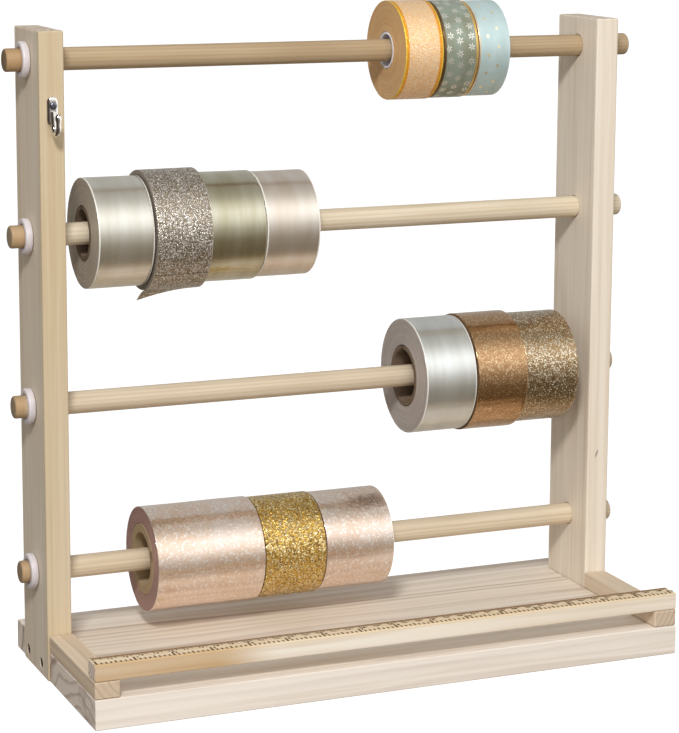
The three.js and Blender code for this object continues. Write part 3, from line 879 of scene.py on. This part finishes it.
def make_loose_end(roll, finish):
    """The last few centimetres of one ribbon, cut on a slant, lifting off under the roll."""
    left, right, middle = place(roll + "_ribbon")
    _, outer = radii(roll + "_ribbon")
    lying = outer - 0.2 * MM
    begin = math.radians(END_START)
    leaves = math.radians(END_LEAVES)
    lying_length = lying * (leaves - begin)
    width = right - left - 2 * EDGE_INSET

    def path_point(distance, lift):
        """Where a length along the ribbon comes to, as (y, z), lift being off its inner face."""
        radius = lying + lift
        if distance <= lying_length:
            angle = begin + distance / lying
            return -radius * math.sin(angle), radius * math.cos(angle)
        y = -lying * math.sin(leaves)
        z = lying * math.cos(leaves)
        heading = leaves
        steps = 12
        part = (distance - lying_length) / steps
        for _ in range(steps):
            heading -= part / (16 * MM)
            y -= math.cos(heading) * part
            z -= math.sin(heading) * part
        return y - math.sin(heading) * lift, z + math.cos(heading) * lift

    vertices = []
    texture = []
    for lift in (0.0, END_THICKNESS):
        for row in range(END_ROWS + 1):
            across = row / END_ROWS
            length = END_LENGTHS[0] + (END_LENGTHS[1] - END_LENGTHS[0]) * across
            for step in range(END_STEPS + 1):
                distance = length * step / END_STEPS
                y, z = path_point(distance, lift)
                free = max(0.0, distance - lying_length)
                flare = -(free**2) * 13.0 * (1 - across)
                x = left + EDGE_INSET + width * across + flare
                vertices.append((x, middle.y + y, middle.z + z))
                texture.append((distance + begin * outer, width * across + EDGE_INSET))
    layer = (END_ROWS + 1) * (END_STEPS + 1)

    def at(side, row, step):
        return side * layer + row * (END_STEPS + 1) + step

    faces = []
    for row in range(END_ROWS):
        for step in range(END_STEPS):
            corners = ((row, step), (row + 1, step), (row + 1, step + 1), (row, step + 1))
            faces += [[at(side, *corner) for corner in corners] for side in (0, 1)]
    border = [((row, k), (row, k + 1)) for k in range(END_STEPS) for row in (0, END_ROWS)]
    border += [((k, step), (k + 1, step)) for k in range(END_ROWS) for step in (0, END_STEPS)]
    for one, other in border:
        faces.append((at(0, *one), at(0, *other), at(1, *other), at(1, *one)))
    uvs = [texture[corner] for face in faces for corner in face]
    piece = finish_mesh(roll + "_end", vertices, faces, [finish], uvs, crisp=40.0)
    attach(piece, roll + "_roll")


# how each ribbon's face is made: the function, its tones, and its options
RIBBON_FACES = {
    "rose_foil": (foil, ((0.93, 0.8, 0.73), (0.87, 0.66, 0.51)), {}),
    "gold_glitter": (
        glitter, (1.15 * MM, (1.0, 0.86, 0.52), (0.86, 0.54, 0.11), (0.24, 0.11, 0.02)),
        dict(tilt=0.42, metallic=0.85, roughness=0.24, sparkle=0.22, gap=1.0, glint_share=0.16, coat=0.15),
    ),
    "pink_foil": (foil, ((0.92, 0.79, 0.71), (0.82, 0.62, 0.49)), {}),
    "pearl_satin": (
        satin, ((0.82, 0.84, 0.83), (0.72, 0.73, 0.7)), dict(metallic=0.88, edge=(0.88, 0.87, 0.82)),
    ),
    "copper_glitter": (
        glitter, (0.9 * MM, (0.85, 0.62, 0.36), (0.5, 0.27, 0.105), (0.4, 0.2, 0.075)),
        dict(tilt=0.05, metallic=0.98, roughness=0.14, sparkle=0.06, gap=0.3, glint_share=0.03, coat=0.4,
             relief=0.08),
    ),
    "bronze_glitter": (
        glitter, (0.85 * MM, (1.0, 0.93, 0.76), (0.43, 0.275, 0.12), (0.18, 0.095, 0.035)),
        dict(tilt=0.16, metallic=0.95, roughness=0.19, sparkle=0.12, gap=0.5, glint_share=0.12, coat=0.3,
             relief=0.25),
    ),
    "cream_satin": (
        satin, ((0.83, 0.81, 0.75), (0.74, 0.71, 0.62)), dict(metallic=0.9, edge=(0.92, 0.9, 0.82)),
    ),
    "silver_glitter": (
        glitter, (0.74 * MM, (1.0, 0.98, 0.94), (0.4, 0.33, 0.25), (0.17, 0.125, 0.08)),
        dict(tilt=0.34, metallic=0.8, roughness=0.26, sparkle=0.14, gap=0.6, glint_share=0.22,
             edge=(0.6, 0.54, 0.46)),
    ),
    "olive_foil": (
        satin, ((0.59, 0.56, 0.42), (0.45, 0.405, 0.23)),
        dict(metallic=0.95, roughness=0.2, brushed=0.4, coat=1.0),
    ),
    "champagne": (
        satin, ((0.86, 0.8, 0.73), (0.78, 0.68, 0.58)), dict(metallic=0.88, edge=(0.92, 0.88, 0.8)),
    ),
    "peach_glitter": (
        glitter, (0.5 * MM, (1.0, 0.88, 0.7), (1.0, 0.63, 0.31), (0.9, 0.48, 0.18)),
        dict(tilt=0.22, metallic=0.4, roughness=0.3, sparkle=0.14, gap=0.1, glint_share=0.08,
             edge=(0.86, 0.36, 0.02), edge_band=3.2 * MM, rim=(1.0, 0.72, 0.08)),
    ),
    "teal_print": (
        printed, ((0.37, 0.44, 0.38), (0.27, 0.28, 0.19), (0.97, 0.95, 0.88)),
        dict(flowers=(8.4 * MM, 2.9 * MM), right_edge=(0.85, 0.55, 0.16),
             left_edge=(0.2, 0.12, 0.06), edge_band=1.9 * MM),
    ),
    "blue_satin": (
        printed, ((0.62, 0.78, 0.79), (0.52, 0.66, 0.65), (0.98, 0.93, 0.7)),
        dict(diamonds=(13.0 * MM, 1.9 * MM, ((7.0 * MM, 0.0), (14.5 * MM, 5.6 * MM))),
             left_edge=(0.9, 0.68, 0.44), edge_band=1.3 * MM),
    ),
}

# light and dark tone of each roll's edge faces
SIDE_TONES = {
    "rose_foil": ((0.62, 0.38, 0.32), (0.42, 0.24, 0.21)),
    "gold_glitter": ((0.9, 0.64, 0.26), (0.66, 0.42, 0.14)),
    "pink_foil": ((0.6, 0.42, 0.34), (0.42, 0.27, 0.22)),
    "pearl_satin": ((0.74, 0.66, 0.6), (0.54, 0.47, 0.42)),
    "copper_glitter": ((0.4, 0.24, 0.12), (0.14, 0.08, 0.04)),
    "bronze_glitter": ((0.66, 0.52, 0.4), (0.4, 0.28, 0.18)),
    "cream_satin": ((0.68, 0.6, 0.49), (0.48, 0.42, 0.33)),
    "silver_glitter": ((0.5, 0.44, 0.36), (0.24, 0.2, 0.16)),
    "olive_foil": ((0.6, 0.55, 0.42), (0.36, 0.31, 0.2)),
    "champagne": ((0.85, 0.8, 0.72), (0.6, 0.52, 0.44)),
    "peach_glitter": ((1.0, 0.68, 0.34), (0.85, 0.46, 0.18)),
    "teal_print": ((0.6, 0.4, 0.2), (0.25, 0.16, 0.08)),
    "blue_satin": ((0.8, 0.62, 0.46), (0.5, 0.38, 0.26)),
}

CARD_TONES = {
    1: ((0.52, 0.4, 0.25), (0.32, 0.22, 0.12)),
    2: ((0.26, 0.19, 0.13), (0.15, 0.1, 0.065)),
    3: ((0.24, 0.18, 0.13), (0.13, 0.09, 0.06)),
}


def rolls_on(number):
    """The rolls whose axis is at rod number's height, from left to right."""
    height = place(f"rod_{number}")[2].z
    found = []
    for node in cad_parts:
        if node.endswith("_ribbon") and abs(place(node)[2].z - height) < 1 * MM:
            found.append((place(node)[0], node.removesuffix("_ribbon")))
    return [roll for _, roll in sorted(found)]


def make_rolls():
    tube = white_tube()
    for number in RODS:
        for order, roll in enumerate(rolls_on(number)):
            if number in CARD_TONES:
                middle = place(roll + "_core")[2]
                core = cardboard(roll + "_card", *CARD_TONES[number], tuple(middle))
                make_core(roll, core)
            else:
                make_core(roll, tube)
            side = wound_side(roll + "_edges", *SIDE_TONES[roll])
            kind, values, options = RIBBON_FACES[roll]
            left, right, _ = place(roll + "_ribbon")
            face = kind(roll + "_face", right - left, *values, **options)
            if roll == LOOSE_ROLL:
                make_ribbon(roll, face, side, END_START - 0.3)
                make_loose_end(roll, face)
            else:
                make_ribbon(roll, face, side, 205.0 + 17.0 * order)


# ---- Hook ----

HOOK_PLATE_WIDTH = 7.4 * MM
HOOK_PLATE_HEIGHT = 19 * MM
HOOK_PLATE_THICKNESS = 2 * MM
HOOK_WIRE = 1.7 * MM
HOOK_BEND = 5.4 * MM
HOOK_LEG = 8.5 * MM
HOOK_LEAN = 1.4 * MM  # how far the leg comes forward on its way down
HOOK_TIP = 8.4 * MM  # how far the tip rises from the bend
HOOK_HOLE = 1.7 * MM


def stadium(width, height, steps=14):
    """The outline of a plate with round ends, its middle at 0, 0."""
    half = width / 2
    straight = height / 2 - half
    points = []
    for sign in (1, -1):
        for step in range(steps + 1):
            turn = math.pi * step / steps + (0 if sign > 0 else math.pi)
            points.append((half * math.cos(turn), sign * straight + half * math.sin(turn)))
    return points


def crowned_plate(name, front, middle, back, material, layers=9):
    """The hook's plate, with round ends, flat at its back and crowned in front."""
    straight = (HOOK_PLATE_HEIGHT - HOOK_PLATE_WIDTH) / 2
    rim = 0.3 * (back - front)
    crown = (back - front) - rim
    rings = []
    for index in range(layers + 1):
        share = 1.0 if index == 0 else 1.0 - 0.92 * ((index - 1) / (layers - 1)) ** 1.3
        rise = 0.0 if index == 0 else rim + crown * math.sqrt(max(0.0, 1 - share**2))
        ring = []
        for x, z in stadium(HOOK_PLATE_WIDTH, HOOK_PLATE_HEIGHT):
            spine = max(-straight, min(straight, z))
            ring.append((middle[0] + x * share, back - rise, middle[1] + spine + (z - spine) * share))
        rings.append(ring)
    return loft(name, rings, material)


def swept(name, points, thickness, material, sides=24):
    """A round bar along points that lie in one plane of constant X."""
    side = Vector((1, 0, 0))
    turns = [2 * math.pi * step / sides for step in range(sides)]
    rings = []
    for index, (point, radius) in enumerate(zip(points, thickness)):
        along = points[min(index + 1, len(points) - 1)] - points[max(index - 1, 0)]
        up = along.normalized().cross(side)
        rings.append([point + (side * math.cos(t) + up * math.sin(t)) * radius for t in turns])
    return loft(name, rings, material)


def combine(piece, others, operation="UNION"):
    """Joins the others to piece, or cuts them from it, and leaves one plain mesh."""
    for other in others:
        modifier = piece.modifiers.new("combine", "BOOLEAN")
        modifier.operation = operation
        modifier.solver = "EXACT"
        modifier.object = other
    depsgraph = bpy.context.evaluated_depsgraph_get()
    made = bpy.data.meshes.new_from_object(piece.evaluated_get(depsgraph))
    piece.modifiers.clear()
    piece.data = made
    for other in others:
        bpy.data.objects.remove(other)
    finish_faces(piece)


def make_hook(material):
    low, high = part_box("hook")
    x = (low.x + high.x) / 2
    back = high.y
    front = back - HOOK_PLATE_THICKNESS
    plate = crowned_plate(
        "wall_hook", front, (x, high.z - HOOK_PLATE_HEIGHT / 2), back, material
    )
    root = back - HOOK_WIRE - 0.2 * MM
    bend = high.z - HOOK_PLATE_HEIGHT + 0.6 * MM
    path = [(root - HOOK_LEAN * k / 8, bend + HOOK_LEG * (1 - k / 8)) for k in range(8)]
    for step in range(29):
        turn = math.pi * step / 28
        y = root - HOOK_LEAN - HOOK_BEND * (1 - math.cos(turn))
        path.append((y, bend - HOOK_BEND * math.sin(turn)))
    y, z = path[-1]
    path += [(y + 0.7 * MM * (k / 10) ** 2, z + HOOK_TIP * k / 10) for k in range(1, 11)]
    thickness = []
    for index in range(len(path)):
        share = index / (len(path) - 1)
        end = max(0.0, (share - 0.86) / 0.14)
        swell = 1.1 - 0.2 * share + 0.3 * math.sin(math.pi * min(1.0, end))
        round_off = math.sqrt(max(0.05, 1 - max(0.0, (end - 0.6) / 0.4) ** 2))
        thickness.append(HOOK_WIRE * swell * round_off)
    prong = swept("hook_prong", [Vector((x, y, z)) for y, z in path], thickness, material)
    near, far = front - 2 * MM, back + 2 * MM
    hole = [(far, 0.0), (far, HOOK_HOLE), (near, HOOK_HOLE), (near, 0.0)]
    drill = turned("hook_drill", hole, place("hook_screw")[2], material, "Y", SCREW_SIDES)
    combine(plate, [prong])
    combine(plate, [drill], "DIFFERENCE")
    stands_for(plate, "hook", "rack")


def thread(start, pitch, turns, shank, root, phase):
    """The ridges of a screw's thread, as points of its profile. root is a share of the shank."""
    ridges = []
    for turn in range(turns):
        ridges.append((start + pitch * (turn + phase), shank * root))
        ridges.append((start + pitch * (turn + phase + 0.5), shank))
    return ridges


def cut_cross(screw, centre, axis, near, far, reach, half, material):
    """Cuts a cross recess into a screw's head, from near to far along its axis, 0 for X or 1 for Y.

    reach is half the length of a slot, and half is half its width.
    """
    slots = []
    for index, (across, up) in enumerate(((reach, half), (half, reach))):
        size = Vector((across, across, up))
        low, high = centre - size, centre + size
        low[axis], high[axis] = sorted((near, far))
        slots.append(box_piece(f"slot_{index}", low, high, material))
    combine(screw, slots, "DIFFERENCE")


def make_hook_screw(material):
    low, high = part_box("hook_screw")
    middle = (low + high) / 2
    head = 2.5 * MM
    height = 1.3 * MM
    shank = 1.35 * MM
    profile = [(low.y, 0.0)]
    for step in range(1, 9):
        turn = math.pi / 2 * step / 8
        profile.append((low.y + height * 0.75 * (1 - math.cos(turn)), head * math.sin(turn)))
    start = low.y + height + 2 * MM
    profile += [(low.y + height, head), (low.y + height, shank), (start, shank)]
    turns = 10
    pitch = (high.y - 2.2 * MM - start) / turns
    profile += thread(start, pitch, turns, shank, root=0.78, phase=0.3)
    profile.append((high.y, 0.0))
    screw = turned("hook_screw_cross", profile, middle, material, "Y", SCREW_SIDES)
    near, far = low.y - 1 * MM, low.y + 0.95 * MM
    cut_cross(screw, middle, 1, near, far, 1.6 * MM, 0.4 * MM, material)
    stands_for(screw, "hook_screw", "rack")


FOOT_HEAD_SINK = 0.5 * MM  # how deep a foot screw's head lies in the post


def make_foot_screw(side, end, material):
    """A countersunk cross-head screw through a post's foot, seen in its hole."""
    node = f"{side}_post_screw_{end}"
    low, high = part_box(node)
    middle = (low + high) / 2
    head = (high.z - low.z) / 2
    post_left, post_right, _ = place(f"{side}_post")
    if side == "left":
        sign, surface, point = 1, post_left, high.x
    else:
        sign, surface, point = -1, post_right, low.x
    face = surface + sign * FOOT_HEAD_SINK
    shank = 0.55 * head
    throat = face + sign * (head - shank + 0.4 * MM)
    profile = [(face, 0.0), (face, head * 0.93), (face + sign * 0.3 * MM, head), (throat, shank)]
    turns = 9
    pitch = (point - sign * 4 * MM - throat) / turns
    profile += thread(throat, pitch, turns, shank, root=0.75, phase=0.4)
    profile.append((point, 0.0))
    screw = turned(f"foot_screw_{side}_{end}", profile, middle, material, sides=SCREW_SIDES)
    near, far = face - sign * 1 * MM, face + sign * 1.3 * MM
    cut_cross(screw, middle, 0, near, far, 1.9 * MM, 0.45 * MM, material)
    stands_for(screw, node, "rack")


# ---- The scale on the rail ----

SCALE_INSET = 1.8 * MM  # from the rail's left end to both zeros
SCALE_GAP = 0.9 * MM  # from the rail's long edges to the marks
MARK_HEIGHT = 0.05 * MM
BORDER = 1.3 * MM  # the line along the back edge


def add_number(made, text, x, y, z, size):
    """A number lying on the rail, centred on x, y."""
    curve = bpy.data.curves.new("number", "FONT")
    curve.body = text
    curve.size = size
    curve.align_x = "CENTER"
    curve.align_y = "CENTER"
    curve.extrude = MARK_HEIGHT / 2
    curve.offset = 0.14 * MM
    carrier = bpy.data.objects.new("number", curve)
    bpy.context.scene.collection.objects.link(carrier)
    depsgraph = bpy.context.evaluated_depsgraph_get()
    mesh = bpy.data.meshes.new_from_object(carrier.evaluated_get(depsgraph))
    mesh.transform(Matrix.Translation((x, y, z + MARK_HEIGHT / 2)))
    made.from_mesh(mesh)
    bpy.data.objects.remove(carrier)
    bpy.data.meshes.remove(mesh)
    bpy.data.curves.remove(curve)


def make_scale(material, border_material):
    """Centimetres along the rail's back edge and inches along its front edge."""
    low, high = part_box("ruler_rail")
    zero = low.x + SCALE_INSET
    end = high.x - 1 * MM
    top = high.z
    back = high.y - SCALE_GAP
    front = low.y + SCALE_GAP
    made = bmesh.new()

    def rule(spacing, unit, half, y, toward, lengths, widths, number, size, spare):
        """Marks every spacing from zero, and numbers each unit more than spare marks from the last.

        lengths and widths are those of a unit's mark, of a half's mark and of any other mark, and
        number is how far a number is from the foot of its mark, all in millimetres.
        """
        most = int((end - zero) / spacing)
        for count in range(most + 1):
            x = zero + count * spacing
            rank = 0 if count % unit == 0 else 1 if count % half == 0 else 2
            reach = y + toward * lengths[rank] * MM
            wide = widths[rank] * MM
            add_box(made, (x - wide / 2, min(y, reach), top),
                    (x + wide / 2, max(y, reach), top + MARK_HEIGHT))
            if rank == 0 and 0 < count < most - spare:
                text = str(count // unit)
                add_number(made, text, x + number[0] * MM, y + toward * number[1] * MM, top, size)

    rule(MM, unit=10, half=5, y=back - BORDER, toward=-1, lengths=(4.2, 3.2, 2.2),
         widths=(0.65, 0.65, 0.5), number=(2.0, 3.9), size=3.3 * MM, spare=3)
    rule(INCH / 8, unit=8, half=4, y=front, toward=1, lengths=(6.4, 4.2, 3.0),
         widths=(1.2, 1.0, 1.0), number=(2.4, 4.9), size=3.8 * MM, spare=-1)
    marks = from_bmesh("rail_scale", made, material)
    border = box_piece(
        "rail_border", (zero - SCALE_GAP, back - BORDER, top), (end, back, top + MARK_HEIGHT),
        border_material,
    )
    for piece in (marks, border):
        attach(piece, "rack")


# ---- Boards ----


def finish_boards():
    """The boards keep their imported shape. Each gets its own cut of pine."""
    finishes = {
        "base_board": pine(
            "base_pine", "x", (0.9, 0.82, 0.725), (0.52, 0.39, 0.29), pith=(-0.052, -0.042),
            spacing=0.0085, contrast=0.85, seed=1.3, waver=0.036,
        ),
        "left_post": pine(
            "left_post_pine", "z", (0.76, 0.67, 0.545), (0.58, 0.46, 0.33), pith=(-0.235, 0.03),
            spacing=0.0056, contrast=0.45, seed=5.1,
            warm=(((("y", 0.0165, 0.013),), (0.62, 0.5, 0.325)),),
        ),
        "right_post": pine(
            "right_post_pine", "z", (0.86, 0.77, 0.645), (0.7, 0.57, 0.43), pith=(0.265, 0.07),
            spacing=0.0058, contrast=0.35, seed=9.4, knot=(0.1975, 0.0115, 0.118),
        ),
        "left_side_strip": pine(
            "left_strip_pine", "y", (0.72, 0.585, 0.43), (0.5, 0.35, 0.23), pith=(-0.17, 0.045),
            spacing=0.0042, contrast=0.6, seed=2.7, ends=0.35,
        ),
        "right_side_strip": pine(
            "right_strip_pine", "y", (0.74, 0.61, 0.46), (0.54, 0.4, 0.27), pith=(0.16, 0.05),
            spacing=0.0042, contrast=0.5, seed=7.7, ends=0.5,
        ),
        "ruler_rail": pine(
            "rail_pine", "x", (0.91, 0.83, 0.71), (0.72, 0.56, 0.38), pith=(-0.05, 0.06),
            spacing=0.004, contrast=0.45, seed=3.3,
            warm=(
                ((("z", 0.041, 0.0427),), (0.8, 0.63, 0.41)),
                ((("x", -0.07, -0.12), ("y", -0.084, -0.0885)), (0.52, 0.295, 0.09)),
            ),
        ),
    }
    for node, material in finishes.items():
        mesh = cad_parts[node].data
        mesh.materials.clear()
        mesh.materials.append(material)


# ---- Floor, lights and camera ----


def make_floor():
    g = Graph("pale_floor")
    patch = g.noise(g.coords("Object"), 0.6, 2.0)
    material = g.surface(
        Base_Color=g.mix(patch, (0.38, 0.38, 0.38), (0.42, 0.42, 0.42)),
        Roughness=0.9,
        Specular_IOR_Level=0.1,
        Emission_Color=(1.0, 1.0, 1.0, 1.0),
        Emission_Strength=0.87,
    )
    size = 60.0
    floor = box_piece("floor", (-size, -size, -0.05), (size, size, 0.0), material)
    floor.visible_diffuse = False
    floor.visible_glossy = False


RACK_MIDDLE = Vector((0.0, 0.0, 0.22))


def area_light(name, toward, distance, size, strength):
    """A panel that shines on the rack's middle. strength is what a white card facing it would show."""
    direction = Vector(toward).normalized()
    lamp = bpy.data.lights.new(name, "AREA")
    lamp.energy = strength * math.pi**2 * distance**2
    lamp.shape = "RECTANGLE"
    lamp.size, lamp.size_y = size
    holder = bpy.data.objects.new(name, lamp)
    holder.location = RACK_MIDDLE + direction * distance
    holder.rotation_mode = "QUATERNION"
    holder.rotation_quaternion = direction.to_track_quat("Z", "Y")
    bpy.context.scene.collection.objects.link(holder)
    return holder


# The room that the ribbons mirror, by the turn about the X axis: 0 and 1 are level behind the
# rack, 0.25 is straight below it, 0.5 is level in front of it, and 0.75 is straight above it.
MIRROR_STRENGTH = 1.45
MIRROR_STOPS = (
    (0.0, (0.33, 0.32, 0.3)),
    (0.15, (0.32, 0.27, 0.21)),
    (0.24, (0.42, 0.33, 0.23)),
    (0.3, (0.17, 0.13, 0.085)),
    (0.36, (0.11, 0.085, 0.055)),
    (0.44, (0.16, 0.135, 0.1)),
    (0.5, (0.38, 0.36, 0.33)),
    (0.555, (0.8, 0.8, 0.78)),
    (0.6, (1.0, 1.0, 1.0)),
    (0.645, (0.72, 0.71, 0.68)),
    (0.69, (0.4, 0.39, 0.36)),
    (0.75, (0.27, 0.26, 0.24)),
    (0.86, (0.32, 0.32, 0.31)),
    (1.0, (0.33, 0.32, 0.3)),
)
ROOM_STOPS = (
    (0.0, (0.26, 0.22, 0.19)),
    (0.44, (0.22, 0.19, 0.16)),
    (0.52, (0.38, 0.38, 0.38)),
    (1.0, (0.5, 0.5, 0.5)),
)


def make_lights():
    area_light("key", toward=(-0.375, -0.682, 0.627), distance=2.4, size=(0.36, 0.36), strength=0.62)
    fill = area_light("fill", toward=(-0.1, -1.0, 0.16), distance=2.2, size=(1.3, 0.6), strength=0.26)
    fill.visible_glossy = False
    world = bpy.data.worlds.new("studio")
    bpy.context.scene.world = world
    g = Graph("studio", world)
    x, y, z = g.split(g.coords("Generated"))
    turn = g.math("ARCTAN2", z, g.mul(y, -1.0))
    mirrored = g.ramp(g.fma(turn, 0.5 / math.pi, 0.5), MIRROR_STOPS)
    mirrored = g.mix(g.step(x, -0.05, -0.4), mirrored, (0.05, 0.04, 0.035))
    mirrored = g.mix(g.step(x, 0.66, 0.85), mirrored, (0.95, 0.95, 0.95))
    room = g.ramp(g.fma(z, 0.5, 0.5), ROOM_STOPS)
    path = g.node("LightPath").outputs
    lit = g.node("Background", inputs={"Color": room}).outputs[0]
    shown = g.node("Background", inputs={"Color": (1.0, 1.0, 1.0)}).outputs[0]
    gloss = g.node("Background", inputs={"Color": mirrored, "Strength": MIRROR_STRENGTH}).outputs[0]
    mixed = g.node("MixShader", inputs={0: path["Is Glossy Ray"], 1: lit, 2: gloss}).outputs[0]
    mixed = g.node("MixShader", inputs={0: path["Is Camera Ray"], 1: mixed, 2: shown}).outputs[0]
    g.tree.links.new(mixed, g.output.inputs["Surface"])


# the camera, in front of the rack, left of it and above it
CAMERA_PLACE = (-0.6291, -1.4872, 0.5319)
CAMERA_YAW, CAMERA_PITCH, CAMERA_ROLL = 0.3967, -0.1727, 0.0052  # right, up and round, in radians
SENSOR_WIDTH = 36.0  # mm, as is the lens
LENS = 120.7
LENS_SHIFT = -0.1044  # of the width, downwards


def make_camera():
    lens = bpy.data.cameras.new("camera")
    lens.sensor_width = SENSOR_WIDTH
    lens.lens = LENS
    lens.shift_y = LENS_SHIFT
    lens.clip_end = 200.0
    camera = bpy.data.objects.new("camera", lens)
    camera.location = CAMERA_PLACE
    turn = Matrix.Rotation(-CAMERA_YAW, 4, "Z")
    turn @= Matrix.Rotation(math.pi / 2 + CAMERA_PITCH, 4, "X")
    turn @= Matrix.Rotation(CAMERA_ROLL, 4, "Z")
    camera.rotation_mode = "QUATERNION"
    camera.rotation_quaternion = turn.to_quaternion()
    bpy.context.scene.collection.objects.link(camera)
    bpy.context.scene.camera = camera


make_camera()
make_lights()
make_floor()
finish_boards()
make_scale(
    dark_mark_finish("burnt_marks", (0.05, 0.02, 0.005), (0.15, 0.07, 0.02)),
    # The second finish is a dark line along the back edge of the rail top.
    dark_mark_finish("dark_back_edge_line", (0.2, 0.09, 0.03), (0.36, 0.19, 0.07)),
)
make_hook(nickel())
make_hook_screw(blued_steel())
# The foot screws' near-black steel also carries painted shade of their holes.
foot_screw_steel_and_shade = screw_steel_and_painted_shade()
for side in ("left", "right"):
    for end in ("front", "back"):
        make_foot_screw(side, end, foot_screw_steel_and_shade)
soft_white = silicone()
for number in RODS:
    make_rod(number)
    make_ring(number, soft_white)
make_rolls()

view = bpy.context.scene.view_settings
view.view_transform = "Standard"
